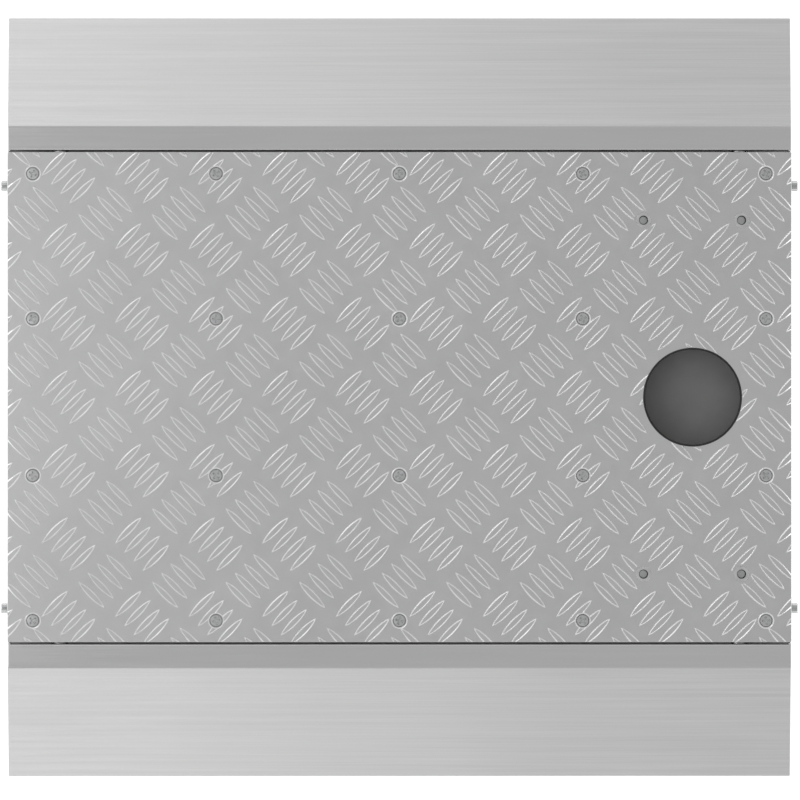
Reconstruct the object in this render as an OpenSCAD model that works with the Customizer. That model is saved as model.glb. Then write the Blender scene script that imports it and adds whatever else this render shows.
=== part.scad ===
// Turnstile floor platform: a tread-plate deck on a tube frame with levelling feet,
// a cable port, four threaded fixings for the turnstile and two lift-off access ramps.
// Origin: centre of the footprint, on the floor. +X right, +Y to the rear ramp, +Z up.

/* [Deck] */
// Width of the deck, left to right
deck_w = 800; // [780:10:900]
// Depth of the deck between the two ramps
deck_d = 500; // [490:10:560]
// Thickness of the tread plate under its pattern
plate_t = 5; // [5:0.5:8]
// Height of the raised tread pattern
tread_h = 1.5; // [0.5:0.1:2]
// Pitch of the tread pattern along X and Y
tread_pitch = 75; // [70:1:90]
// Length of one raised lozenge
lozenge_l = 38; // [30:1:40]
// Width of one raised lozenge
lozenge_w = 7.2; // [4:0.2:8]

/* [Frame] */
// Clear height under the frame
ground_gap = 12; // [10:1:20]
// Width of the frame's rectangular tube
tube_w = 40; // [40:1:44]
// Height of the frame's rectangular tube
tube_h = 30; // [30:1:50]
// Wall of the frame's rectangular tube
tube_t = 2.5; // [2:0.5:3]
// Thickness of the gasket tape between frame and deck
gasket_t = 1; // [0.5:0.5:2]

/* [Deck screws] */
// Distance between neighbouring screw columns
column_pitch = 187; // [180:1:190]
// Distance of the inner screw rows from the middle
inner_row = 80; // [78:1:84]
// Distance of the outer screw rows from the middle
outer_row = 228; // [224:1:230]
// Diameter of a countersunk screw head
head_d = 13.2; // [11:0.1:14]
// Diameter of a countersink at the deck's surface
sink_d = 16.2; // [15:0.1:18]

/* [Cable port] */
// Diameter of the cable port in the deck
port_d = 100; // [80:1:104]
// Distance of the cable port from the middle, to the right
port_x = 299; // [290:1:300]

/* [Turnstile fixings] */
// Distance between fixings, left to right
fix_dx = 100; // [90:1:102]
// Distance between fixings, front to rear
fix_dy = 361; // [350:1:366]
// Radius of the tapped hole's wall, M10
fix_r = 4.25; // [3.4:0.05:5.1]

/* [Ramps] */
// Length of a ramp's flat top strip
flat_l = 24; // [20:1:30]
// Horizontal length of a ramp's slope
slope_l = 112; // [100:1:160]
// Thickness of the ramp's steel sheet
sheet_t = 3; // [2:0.5:4]
// Gap between the deck's edge and a ramp
ramp_gap = 2; // [1.8:0.1:3]
// Distance of a ramp's hanging studs from the middle
stud_x = 347; // [320:1:350]

/* [Feet] */
// Diameter of a levelling foot's rubber pad
pad_d = 34; // [30:1:38]
// Distance of the corner feet from the middle, front to rear
foot_y = 185; // [150:1:190]

/* [Hidden] */
$fn = 48;

eps = 0.01;
half_w = deck_w / 2;
half_d = deck_d / 2;
rail_z = ground_gap;
rail_top = rail_z + tube_h;
rail_mid = rail_z + tube_h / 2;
deck_z = rail_top + gasket_t;
deck_top = deck_z + plate_t;
rail_x = half_w - tube_w / 2;
inner_x = half_w - tube_w;
end_y = half_d - tube_w / 2;
cap_t = 1.5;

screw_columns = [-2, -1, 0, 1, 2];
screw_rows = [-outer_row, -inner_row, inner_row, outer_row];
end_columns = [-1, 0, 1];
screw_r = 3;
screw_hole_r = 3.3;
screw_l = 16;
head_drop = 1.5;
nut_bore_r = 3.05;
nut_body_r = 4.5;
nut_flange_r = 6.5;
nut_flange_t = 0.6;
nut_l = 13;
countersink_h = sink_d / 2 - screw_hole_r;

lozenge_step = tread_pitch * sqrt(2) / 8;
lozenges_in_group = 4;
lozenge_arc = (pow(lozenge_l, 2) + pow(lozenge_w, 2)) / (4 * lozenge_w);
group_reach = (lozenges_in_group - 1) / 2 * lozenge_step + lozenge_l / 2;
lozenge_edge = 0.3;

insert_body_r = 6.5;
insert_flange_r = 7.8;
insert_flange_t = 0.8;
insert_l = 20;
insert_bore_l = 17;
spot_r = 10;
port_spot_r = port_d / 2 + 1;
mount_t = 10;
mount_w = 2 * (half_d - tube_w - fix_dy / 2);
mount_l = 146;

side_screw_y = 215.6;
cap_head_r = 5;
cap_head_l = 6;
hex_socket_r = 2.9;
side_screw_l = 16;

stud_collar_r = 9;
stud_collar_l = 1.6;
stud_shank_r = 5;
stud_head_r = 9;
stud_head_l = 3;
stud_thread_r = 4;
stud_play = 0.6;
stud_nut_l = 6.5;
stud_nut_r = 7.5;
slot_r = 5.4;
thread_gap = 0.05;

ramp_y0 = half_d + ramp_gap;
flat_y = ramp_y0 + flat_l;
toe_y = flat_y + slope_l;
toe_z = 3.4;
slope = (deck_top - toe_z) / slope_l;
sheet_drop = sheet_t * sqrt(1 + slope * slope);
cheek_gap = 0.4;
ramp_inner_w = deck_w - 2 * sheet_t;
back_z = 8;
rib_columns = [-200, 0, 200];
pad_y0 = flat_y + 74;
pad_y1 = flat_y + 102;

foot_r = 5;
foot_bush_r = 8;
foot_bush_l = 12;
foot_stud_top = 26;
pad_h = 3;
foot_base_h = 2.5;
foot_base_r = 15;
locknut_l = 5;
locknut_r = 9.2;
pad_round = 1;

well_w = 120;
well_wall = 1.5;
well_x0 = port_x - well_w / 2;
well_base = rail_z + well_wall;
well_half = inner_row - tube_w / 2;
grommet_hole_r = 11;
grommet_gap = 0.1;
grommet_bore_r = 9;
grommet_lip_r = 12.8;
grommet_lip_t = 2;
rivet_columns = [-44, 0, 44];
rivet_r = 2.4;
rivet_head_r = 4.6;
rivet_head_t = 1.2;
rivet_tail = 3;
trim_r = 48.4;
trim_gap = 0.2;
trim_bead_r = port_d / 2 + 0.4;
trim_bead_h = 0.6;
trim_lip_r = port_d / 2 + 3;
trim_lip_h = 1;
earth_x = port_x - 50;
earth_y = -44;
earth_r = 3;
earth_l = 18;
earth_nut_l = 5;
earth_nut_r = 5.77;
washer_z = well_base + 5.2;
washer_t = 1.6;
washer_r = 6;
washer_gap = 0.2;
gusset_leg = 60;
gusset_t = 3;

// Places of the feet: x, y
feet = [
  [-rail_x, -foot_y], [rail_x, -foot_y], [0, -inner_row],
  [0, inner_row], [-rail_x, foot_y], [rail_x, foot_y]
];

primer = "#8c8e90";
brass = "#b08a45";
steel = "#9c9ea1";
bright = "#d4d5d7";
zinc = "#b9bcc0";
black = "#1c1c1e";

// Height of a ramp's top surface at a distance from the middle of the deck
function ramp_z(y) = y < flat_y ? deck_top : deck_top - (y - flat_y) * slope;
// Height of the underside of the sloping sheet
function under_z(y) = ramp_z(y) - sheet_drop;
// Distance of the bend between the undersides of the strip and the slope
under_bend = flat_y - (sheet_drop - sheet_t) / slope;

// A copy on each side of the YZ plane and of the XZ plane
module four_ways() {
  for (mx = [0, 1], my = [0, 1])
    mirror([mx, 0, 0]) mirror([0, my, 0]) children();
}

// Rectangular tube along X, centred on X and Y, standing on z = 0
module tube(length) {
  translate([-length / 2, -tube_w / 2, 0])
    difference() {
      cube([length, tube_w, tube_h]);
      translate([-1, tube_t, tube_t])
        cube([length + 2, tube_w - 2 * tube_t, tube_h - 2 * tube_t]);
    }
}

// Vertical hole at a place, from z0 up
module drill(x, y, r, z0, length) {
  translate([x, y, z0]) cylinder(r = r, h = length);
}

// Hole for a rivet nut in the top wall of a rail
module nut_hole(x, y) {
  drill(x, y, nut_body_r + thread_gap, rail_top - tube_t - 1, tube_t + 2);
}

// Places of the deck screws
module at_screws() {
  for (c = screw_columns, y = screw_rows)
    translate([c * column_pitch, y, 0]) children();
}

module side_rail(side) {
  color(steel)
    difference() {
      translate([side * rail_x, 0, rail_z]) rotate([0, 0, 90]) tube(deck_d - 2 * cap_t);
      for (y = screw_rows)
        nut_hole(side * 2 * column_pitch, y);
      for (sy = [-1, 1])
        drill(side * rail_x, sy * foot_y, foot_bush_r, rail_z - 1, tube_t + 2);
      for (sy = [-1, 1])
        translate([side * (half_w - tube_t / 2), sy * side_screw_y, rail_mid])
          rotate([0, 90, 0])
            cylinder(r = nut_body_r + thread_gap, h = tube_t + 2, center = true);
    }
}

module end_rail(side) {
  color(steel)
    difference() {
      translate([0, side * end_y, rail_z]) tube(2 * inner_x);
      for (c = end_columns)
        nut_hole(c * column_pitch, side * outer_row);
      for (sx = [-1, 1])
        translate([sx * stud_x, side * (half_d - tube_t / 2), rail_mid])
          rotate([90, 0, 0])
            cylinder(r = stud_thread_r + thread_gap, h = tube_t + 2, center = true);
    }
}

module cross_member(side) {
  color(steel)
    difference() {
      translate([0, side * inner_row, rail_z]) tube(2 * inner_x);
      for (c = end_columns)
        nut_hole(c * column_pitch, side * inner_row);
      drill(0, side * inner_row, foot_bush_r, rail_z - 1, tube_t + 2);
      for (x = rivet_columns)
        translate([port_x + x, side * (well_half + tube_t / 2), rail_mid])
          rotate([90, 0, 0])
            cylinder(r = rivet_r + thread_gap, h = tube_t + 2, center = true);
    }
}

module mount_plate(side) {
  color(steel)
    difference() {
      translate([inner_x - mount_l, side * fix_dy / 2 - mount_w / 2, rail_top - mount_t])
        cube([mount_l, mount_w, mount_t]);
      for (sx = [-1, 1])
        translate([port_x + sx * fix_dx / 2, side * fix_dy / 2, 0])
          drill(0, 0, insert_body_r, rail_top - mount_t - 1, mount_t + 2);
    }
}

module corner_gussets() {
  color(steel)
    four_ways()
      translate([inner_x, half_d - tube_w, rail_z])
        linear_extrude(gusset_t)
          polygon([[0, 0], [-gusset_leg, 0], [0, -gusset_leg]]);
}

// Flat-faced plastic plugs in the open ends of the side rails
module rail_end_caps() {
  plug_l = 12;
  color(black)
    four_ways()
      translate([rail_x, half_d - cap_t, rail_mid]) {
        translate([-tube_w / 2, 0, -tube_h / 2]) cube([tube_w, cap_t, tube_h]);
        translate([-tube_w / 2 + tube_t, -plug_l, -tube_h / 2 + tube_t])
          cube([tube_w - 2 * tube_t, plug_l + eps, tube_h - 2 * tube_t]);
      }
}

// Tape along the tops of the six rails, butted with small gaps
module deck_gasket() {
  butt_gap = 1;
  flange_gap = 0.2;
  color(black)
    difference() {
      union() {
        for (s = [-1, 1]) {
          translate([s * rail_x - tube_w / 2, -half_d, rail_top])
            cube([tube_w, deck_d, gasket_t]);
          for (y = [inner_row, end_y])
            translate([-inner_x + butt_gap, s * y - tube_w / 2, rail_top])
              cube([2 * (inner_x - butt_gap), tube_w, gasket_t]);
        }
      }
      at_screws() drill(0, 0, nut_flange_r + flange_gap, rail_top - 1, gasket_t + 2);
    }
}

// One raised lozenge: two crossed arcs, with its long axis along Y
module lozenge() {
  offset_x = lozenge_arc - lozenge_w / 2;
  linear_extrude(tread_h)
    intersection() {
      translate([offset_x, 0]) circle(r = lozenge_arc, $fn = 180);
      translate([-offset_x, 0]) circle(r = lozenge_arc, $fn = 180);
      square([lozenge_w, lozenge_l - 2 * lozenge_edge], center = true);
    }
}

// Four parallel lozenges, leaning 45 degrees to the right (lean = -1) or left (lean = 1)
module lozenge_group(lean) {
  rotate([0, 0, lean * 45])
    for (i = [0 : lozenges_in_group - 1])
      translate([(i - (lozenges_in_group - 1) / 2) * lozenge_step, 0, 0]) lozenge();
}

module tread_pattern() {
  columns = floor((half_w + group_reach) / tread_pitch);
  rows = floor((half_d + group_reach) / tread_pitch);
  translate([0, 0, deck_top]) {
    for (i = [-columns - 1 : columns], j = [-rows : rows])
      translate([(i + 0.5) * tread_pitch, j * tread_pitch, 0]) lozenge_group(-1);
    for (i = [-columns : columns], j = [-rows - 1 : rows])
      translate([i * tread_pitch, (j + 0.5) * tread_pitch, 0]) lozenge_group(1);
  }
}

module deck_plate() {
  color(bright)
    difference() {
      union() {
        translate([-half_w, -half_d, deck_z]) cube([deck_w, deck_d, plate_t]);
        intersection() {
          tread_pattern();
          translate([-half_w, -half_d, deck_top - 1]) cube([deck_w, deck_d, tread_h + 2]);
        }
      }
      drill(port_x, 0, port_d / 2, deck_z - 1, plate_t + 2);
      drill(port_x, 0, port_spot_r, deck_top, tread_h + 1);
      at_screws() {
        drill(0, 0, screw_hole_r, deck_z - 1, plate_t + 2);
        translate([0, 0, deck_top - countersink_h])
          cylinder(r1 = screw_hole_r, r2 = sink_d / 2, h = countersink_h);
        drill(0, 0, sink_d / 2, deck_top, tread_h + 1);
      }
      for (sx = [-1, 1], sy = [-1, 1])
        translate([port_x + sx * fix_dx / 2, sy * fix_dy / 2, 0]) {
          drill(0, 0, insert_body_r, deck_z - 1, plate_t + 2);
          drill(0, 0, insert_flange_r, deck_top - insert_flange_t, 2);
          drill(0, 0, spot_r, deck_top, tread_h + 1);
        }
    }
}

// Rubber edging round the cable port
module port_trim() {
  color(black)
    translate([port_x, 0, 0])
      rotate_extrude($fn = 96)
        polygon([
          [trim_r, deck_z - trim_lip_h], [trim_lip_r, deck_z - trim_lip_h],
          [trim_lip_r, deck_z], [port_d / 2 - trim_gap, deck_z],
          [port_d / 2 - trim_gap, deck_top], [trim_bead_r, deck_top],
          [trim_bead_r, deck_top + trim_bead_h],
          [trim_r, deck_top + trim_bead_h]
        ]);
}

// Flanged bushes, tapped M10, let into the deck and the mounting plates
module turnstile_inserts() {
  color(zinc)
    for (sx = [-1, 1], sy = [-1, 1])
      translate([port_x + sx * fix_dx / 2, sy * fix_dy / 2, deck_top])
        difference() {
          union() {
            translate([0, 0, -insert_l]) cylinder(r = insert_body_r, h = insert_l);
            translate([0, 0, -insert_flange_t])
              cylinder(r = insert_flange_r, h = insert_flange_t);
          }
          translate([0, 0, -insert_bore_l]) cylinder(r = fix_r, h = insert_bore_l + 1);
        }
}

// Cross recess cut into a screw's head, its top at z = 0
module cross_recess(span, width, depth) {
  for (a = [0, 90])
    rotate([0, 0, a]) translate([-span / 2, -width / 2, -depth]) cube([span, width, depth + 1]);
}

module deck_screws() {
  cone_h = head_d / 2 - screw_r;
  recess_span = 7;
  recess_width = 1.5;
  recess_depth = 2.4;
  color(zinc)
    at_screws()
      translate([0, 0, deck_top - head_drop])
        difference() {
          union() {
            translate([0, 0, -cone_h]) cylinder(r1 = screw_r, r2 = head_d / 2, h = cone_h);
            translate([0, 0, -screw_l]) cylinder(r = screw_r, h = screw_l - cone_h + eps);
          }
          rotate([0, 0, 45]) cross_recess(recess_span, recess_width, recess_depth);
        }
}

// Blind threaded rivet nut, its flange on z = 0 and its body below
module rivet_nut(length) {
  difference() {
    union() {
      cylinder(r = nut_flange_r, h = nut_flange_t);
      translate([0, 0, -length]) cylinder(r = nut_body_r, h = length + eps);
    }
    translate([0, 0, -length - 1]) cylinder(r = nut_bore_r, h = length + nut_flange_t + 2);
  }
}

module deck_rivet_nuts() {
  color(zinc) at_screws() translate([0, 0, rail_top]) rivet_nut(nut_l);
}

// Socket-head screws in the outer walls of the side rails
module side_screws() {
  socket_depth = 3.5;
  color(zinc)
    for (sx = [-1, 1], sy = [-1, 1])
      translate([sx * half_w, sy * side_screw_y, rail_mid])
        rotate([0, sx * 90, 0])
          difference() {
            union() {
              translate([0, 0, nut_flange_t]) cylinder(r = cap_head_r, h = cap_head_l);
              translate([0, 0, -side_screw_l + nut_flange_t])
                cylinder(r = screw_r, h = side_screw_l + eps);
            }
            translate([0, 0, cap_head_l + nut_flange_t - socket_depth])
              cylinder(r = hex_socket_r, h = socket_depth + 1, $fn = 6);
          }
}

module side_rivet_nuts() {
  color(zinc)
    for (sx = [-1, 1], sy = [-1, 1])
      translate([sx * half_w, sy * side_screw_y, rail_mid])
        rotate([0, sx * 90, 0]) rivet_nut(nut_l);
}

// Shouldered studs that the ramps hang on
module ramp_studs() {
  thread_l = 12;
  head_y = ramp_gap + sheet_t + stud_play;
  color(zinc)
    for (sx = [-1, 1], sy = [-1, 1])
      translate([sx * stud_x, sy * half_d, rail_mid])
        rotate([-sy * 90, 0, 0]) {
          cylinder(r = stud_collar_r, h = stud_collar_l);
          cylinder(r = stud_shank_r, h = head_y + eps);
          translate([0, 0, head_y]) cylinder(r = stud_head_r, h = stud_head_l);
          translate([0, 0, -thread_l]) cylinder(r = stud_thread_r, h = thread_l + eps);
        }
}

module ramp_stud_nuts() {
  color(zinc)
    for (sx = [-1, 1], sy = [-1, 1])
      translate([sx * stud_x, sy * (half_d - tube_t), rail_mid])
        rotate([sy * 90, 0, 0])
          difference() {
            cylinder(r = stud_nut_r, h = stud_nut_l, $fn = 6);
            translate([0, 0, -1]) cylinder(r = stud_thread_r + thread_gap, h = stud_nut_l + 2);
          }
}

// Threaded bushes welded into the bottom walls of the rails
module foot_bushes() {
  color(zinc)
    for (f = feet)
      translate([f[0], f[1], rail_z])
        difference() {
          cylinder(r = foot_bush_r, h = foot_bush_l);
          translate([0, 0, -1]) cylinder(r = foot_r + thread_gap, h = foot_bush_l + 2);
        }
}

module foot_locknuts() {
  color(zinc)
    for (f = feet)
      translate([f[0], f[1], rail_z - locknut_l])
        difference() {
          cylinder(r = locknut_r, h = locknut_l, $fn = 6);
          translate([0, 0, -1]) cylinder(r = foot_r + thread_gap, h = locknut_l + 2);
        }
}

// Threaded stud with a hexagonal base for a spanner
module foot_stud(i) {
  color(zinc)
    translate([feet[i][0], feet[i][1], pad_h]) {
      cylinder(r = foot_base_r, h = foot_base_h, $fn = 6);
      cylinder(r = foot_r, h = foot_stud_top - pad_h);
    }
}

// Rubber pad bonded under a foot's base
module foot_pad(i) {
  pad_r = pad_d / 2;
  color(black)
    translate([feet[i][0], feet[i][1], 0])
      rotate_extrude()
        polygon([[0, 0], [pad_r - pad_round, 0], [pad_r, pad_round], [pad_r, pad_h], [0, pad_h]]);
}

// Floor of the open sheet-metal well under the cable port
module well_floor() {
  color(primer)
    difference() {
      translate([well_x0, -well_half, rail_z]) cube([well_w, 2 * well_half, well_wall]);
      drill(earth_x, earth_y, earth_r + thread_gap, rail_z - 1, well_wall + 2);
    }
}

// Front (side = -1) or rear (side = 1) wall of the well, riveted to a cross member
module well_long_wall(side) {
  color(primer)
    difference() {
      translate([well_x0, side * (well_half - well_wall / 2) - well_wall / 2, well_base])
        cube([well_w, well_wall, rail_top - well_base]);
      for (x = rivet_columns)
        translate([port_x + x, side * (well_half - well_wall / 2), rail_mid])
          rotate([90, 0, 0])
            cylinder(r = rivet_r + thread_gap, h = well_wall + 1, center = true);
    }
}

// Short wall of the well, which starts at x
module well_short_wall(x) {
  translate([x, -(well_half - well_wall), well_base])
    cube([well_wall, 2 * (well_half - well_wall), rail_top - well_base]);
}

// Left wall, with the hole for the grommet
module well_left_wall() {
  color(primer)
    difference() {
      well_short_wall(well_x0);
      translate([well_x0 - 1, 0, rail_mid])
        rotate([0, 90, 0]) cylinder(r = grommet_hole_r, h = well_wall + 2);
    }
}

module well_right_wall() {
  color(primer) well_short_wall(well_x0 + well_w - well_wall);
}

// Blind rivets that hold the well between the cross members
module well_rivets() {
  shank_l = well_wall + tube_t + rivet_tail;
  color(zinc)
    for (x = rivet_columns, s = [-1, 1])
      translate([port_x + x, s * (well_half - well_wall), rail_mid])
        rotate([-s * 90, 0, 0]) {
          translate([0, 0, -rivet_head_t]) cylinder(r = rivet_head_r, h = rivet_head_t);
          translate([0, 0, -eps]) cylinder(r = rivet_r, h = shank_l);
        }
}

// Rubber grommet that lets the cables out of the well
module well_grommet() {
  color(black)
    translate([well_x0, 0, rail_mid])
      rotate([0, 90, 0])
        rotate_extrude()
          polygon([
            [grommet_bore_r, -grommet_lip_t], [grommet_lip_r, -grommet_lip_t],
            [grommet_lip_r, 0], [grommet_hole_r - grommet_gap, 0],
            [grommet_hole_r - grommet_gap, well_wall],
            [grommet_lip_r, well_wall], [grommet_lip_r, well_wall + grommet_lip_t],
            [grommet_bore_r, well_wall + grommet_lip_t]
          ]);
}

// Earthing stud welded into the floor of the well, with a washer and two nuts
module earth_stud() {
  color(brass)
    translate([earth_x, earth_y, rail_z]) cylinder(r = earth_r, h = earth_l);
}

module earth_washer() {
  color(brass)
    translate([earth_x, earth_y, washer_z])
      difference() {
        cylinder(r = washer_r, h = washer_t);
        translate([0, 0, -1]) cylinder(r = earth_r + washer_gap, h = washer_t + 2);
      }
}

module earth_nuts() {
  color(brass)
    for (z = [washer_z - earth_nut_l, washer_z + washer_t])
      translate([earth_x, earth_y, z])
        difference() {
          cylinder(r = earth_nut_r, h = earth_nut_l, $fn = 6);
          translate([0, 0, -1]) cylinder(r = earth_r + thread_gap, h = earth_nut_l + 2);
        }
}

// Puts a shape made for the rear ramp at the rear (side = 1) or the front (side = -1)
module ramp_side(side) {
  rotate([0, 0, side > 0 ? 0 : 180]) children();
}

// Extrudes a YZ outline along X, centred on x
module profile(x, width, points) {
  translate([x - width / 2, 0, 0])
    rotate([90, 0, 90]) linear_extrude(width) polygon(points);
}

// Bent sheet: flat top strip and slope
module ramp_plate(side) {
  color(bright)
    ramp_side(side)
      profile(0, ramp_inner_w, [
        [ramp_y0, deck_top - sheet_t], [under_bend, deck_top - sheet_t],
        [toe_y, under_z(toe_y)], [toe_y, toe_z], [flat_y, deck_top], [ramp_y0, deck_top]
      ]);
}

// Upright back sheet with two slots, open at the bottom, that drop over the studs
module ramp_back(side) {
  color(bright)
    ramp_side(side)
      difference() {
        translate([-ramp_inner_w / 2, ramp_y0, back_z])
          cube([ramp_inner_w, sheet_t, deck_top - sheet_t - back_z]);
        for (sx = [-1, 1])
          translate([sx * stud_x, ramp_y0 - 1, rail_mid]) {
            rotate([-90, 0, 0]) cylinder(r = slot_r, h = sheet_t + 2);
            translate([-slot_r, 0, back_z - rail_mid - 1])
              cube([2 * slot_r, sheet_t + 2, rail_mid - back_z + 1]);
          }
      }
}

// Side sheet that closes an end of a ramp and stands on the floor
module ramp_cheek(side, end) {
  color(bright)
    ramp_side(side)
      profile(end * (half_w - sheet_t / 2), sheet_t, [
        [half_d + cheek_gap, 0], [toe_y, 0], [toe_y, toe_z],
        [flat_y, deck_top], [half_d + cheek_gap, deck_top]
      ]);
}

// Upright stiffeners under the slope
module ramp_ribs(side) {
  color(bright)
    ramp_side(side)
      for (x = rib_columns)
        profile(x, sheet_t, [
          [ramp_y0 + sheet_t, 0], [pad_y0, 0], [pad_y0, under_z(pad_y0)],
          [under_bend, deck_top - sheet_t], [ramp_y0 + sheet_t, deck_top - sheet_t]
        ]);
}

// Rubber wedge bonded under the toe
module ramp_toe_pad(side) {
  color(black)
    ramp_side(side)
      profile(0, ramp_inner_w, [
        [pad_y0, 0], [pad_y1, 0], [pad_y1, under_z(pad_y1)], [pad_y0, under_z(pad_y0)]
      ]);
}

side_rail(-1);  // side_rail_left
side_rail(1);  // side_rail_right
end_rail(-1);  // end_rail_front
end_rail(1);  // end_rail_rear
cross_member(-1);  // cross_member_front
cross_member(1);  // cross_member_rear
mount_plate(-1);  // mount_plate_front
mount_plate(1);  // mount_plate_rear
corner_gussets();
rail_end_caps();
deck_gasket();
deck_plate();
port_trim();
turnstile_inserts();
deck_screws();
deck_rivet_nuts();
side_screws();
side_rivet_nuts();
ramp_studs();
ramp_stud_nuts();
foot_bushes();
foot_locknuts();
well_floor();
well_long_wall(-1);  // well_front_wall
well_long_wall(1);  // well_rear_wall
well_left_wall();
well_right_wall();
well_rivets();
well_grommet();
earth_stud();
earth_nuts();
earth_washer();
ramp_plate(-1);  // ramp_front_plate
ramp_back(-1);  // ramp_front_back
ramp_cheek(-1, 1);  // ramp_front_cheek_left
ramp_cheek(-1, -1);  // ramp_front_cheek_right
ramp_ribs(-1);  // ramp_front_ribs
ramp_toe_pad(-1);  // ramp_front_toe_pad
ramp_plate(1);  // ramp_rear_plate
ramp_back(1);  // ramp_rear_back
ramp_cheek(1, -1);  // ramp_rear_cheek_left
ramp_cheek(1, 1);  // ramp_rear_cheek_right
ramp_ribs(1);  // ramp_rear_ribs
ramp_toe_pad(1);  // ramp_rear_toe_pad
foot_stud(0);  // foot_front_left_stud
foot_pad(0);  // foot_front_left_pad
foot_stud(1);  // foot_front_right_stud
foot_pad(1);  // foot_front_right_pad
foot_stud(2);  // foot_middle_front_stud
foot_pad(2);  // foot_middle_front_pad
foot_stud(3);  // foot_middle_rear_stud
foot_pad(3);  // foot_middle_rear_pad
foot_stud(4);  // foot_rear_left_stud
foot_pad(4);  // foot_rear_left_pad
foot_stud(5);  // foot_rear_right_stud
foot_pad(5);  // foot_rear_right_pad
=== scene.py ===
"""Turnstile floor platform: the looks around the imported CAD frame. Lengths are in metres."""
import math

import bmesh
import bpy
from mathutils import Matrix, Vector


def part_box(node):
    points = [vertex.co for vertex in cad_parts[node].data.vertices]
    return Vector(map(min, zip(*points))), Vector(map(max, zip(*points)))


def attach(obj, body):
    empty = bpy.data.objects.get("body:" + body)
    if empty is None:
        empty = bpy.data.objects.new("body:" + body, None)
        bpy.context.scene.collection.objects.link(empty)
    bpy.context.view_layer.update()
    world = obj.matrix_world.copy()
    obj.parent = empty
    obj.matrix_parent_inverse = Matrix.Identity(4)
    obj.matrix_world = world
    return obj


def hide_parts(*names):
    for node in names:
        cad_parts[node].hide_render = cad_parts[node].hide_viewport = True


MM = 0.001
TAU = 2 * math.pi

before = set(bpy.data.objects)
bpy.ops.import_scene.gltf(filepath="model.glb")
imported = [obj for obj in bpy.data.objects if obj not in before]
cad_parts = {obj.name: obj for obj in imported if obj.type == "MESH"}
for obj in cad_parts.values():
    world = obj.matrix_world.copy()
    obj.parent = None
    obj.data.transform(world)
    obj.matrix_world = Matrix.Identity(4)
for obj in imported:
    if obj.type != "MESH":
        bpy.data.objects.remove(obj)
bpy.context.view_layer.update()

# ---------------------------------------------------------------- driving sizes
deck_lo, deck_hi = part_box("deck_plate")
HALF_W, HALF_D = deck_hi.x, deck_hi.y
TREAD_H = 1.5 * MM
DECK_TOP = deck_hi.z - TREAD_H
DECK_BOTTOM = deck_lo.z
rail_lo, rail_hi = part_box("side_rail_right")
RAIL_W = rail_hi.x - rail_lo.x
RAIL_MID_Z = (rail_lo.z + rail_hi.z) / 2
TUBE_T = 2.5 * MM
trim_lo, trim_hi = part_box("port_trim")
PORT = Vector(((trim_lo.x + trim_hi.x) / 2, (trim_lo.y + trim_hi.y) / 2, 0))
PORT_R = 50 * MM
TRIM_R = 48.4 * MM

COLUMN_PITCH = 187 * MM
SCREW_COLUMNS = (-2, -1, 0, 1, 2)
SCREW_ROWS = (-228 * MM, -80 * MM, 80 * MM, 228 * MM)
SCREWS = [(c * COLUMN_PITCH, y) for c in SCREW_COLUMNS for y in SCREW_ROWS]
SINK_R = 8.1 * MM
SCREW_HOLE_R = 3.3 * MM
HEAD_R = 5.9 * MM
HEAD_DROP = 1.5 * MM
FIXING_DX, FIXING_Y = 50 * MM, 180.5 * MM
FIXINGS = [(PORT.x + sx * FIXING_DX, sy * FIXING_Y) for sx in (-1, 1) for sy in (-1, 1)]
INSERT_R, INSERT_FLANGE_R, INSERT_FLANGE_T = 6.5 * MM, 7.8 * MM, 0.8 * MM
SPOT_R = 10 * MM
STUD_X = 347 * MM
RIVET_COLUMNS = [PORT.x + k * 44 * MM for k in (-1, 0, 1)]
RIVET_FACE_Y, INNER_WALL_Y = 58.5 * MM, 60 * MM

TREAD_PITCH = 75 * MM
LOZENGE_L = 38 * MM
LOZENGE_W = 7.6 * MM
LOZENGES_IN_GROUP = 4


# ---------------------------------------------------------------- mesh helpers
def make_object(name, mesh, material=None):
    """A linked object around a mesh, with one material."""
    obj = bpy.data.objects.new(name, mesh)
    bpy.context.scene.collection.objects.link(obj)
    if material:
        mesh.materials.clear()
        mesh.materials.append(material)
    return obj


def shade(mesh, degrees=32):
    """Smooth faces with sharp edges above an angle."""
    mesh.polygons.foreach_set("use_smooth", [True] * len(mesh.polygons))
    mesh.set_sharp_from_angle(angle=math.radians(degrees))


def revolved(profile, segments=48):
    """A solid of revolution about Z from (radius, z) points, the ends closed on the axis or joined."""
    bm = bmesh.new()
    rings = []
    for r, z in profile:
        if r < 1e-9:
            rings.append([bm.verts.new((0, 0, z))])
            continue
        rings.append([
            bm.verts.new((r * math.cos(TAU * i / segments), r * math.sin(TAU * i / segments), z))
            for i in range(segments)
        ])
    pairs = list(zip(rings, rings[1:]))
    if len(rings[0]) > 1 and len(rings[-1]) > 1:
        pairs.append((rings[-1], rings[0]))
    for low, high in pairs:
        for i in range(segments):
            j = (i + 1) % segments
            corners = [low[i % len(low)], low[j % len(low)], high[j % len(high)], high[i % len(high)]]
            face = list(dict.fromkeys(corners))
            if len(face) > 2:
                bm.faces.new(face)
    return bm


def place(bm, matrix):
    """The same bmesh, moved."""
    bmesh.ops.transform(bm, matrix=matrix, verts=bm.verts)
    return bm


def joined(parts, name):
    """One mesh from several bmeshes, which are used up."""
    whole = bmesh.new()
    for part in parts:
        mesh = bpy.data.meshes.new("part")
        bmesh.ops.recalc_face_normals(part, faces=part.faces)
        part.to_mesh(mesh)
        part.free()
        whole.from_mesh(mesh)
        bpy.data.meshes.remove(mesh)
    mesh = bpy.data.meshes.new(name)
    whole.to_mesh(mesh)
    whole.free()
    return mesh


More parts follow.
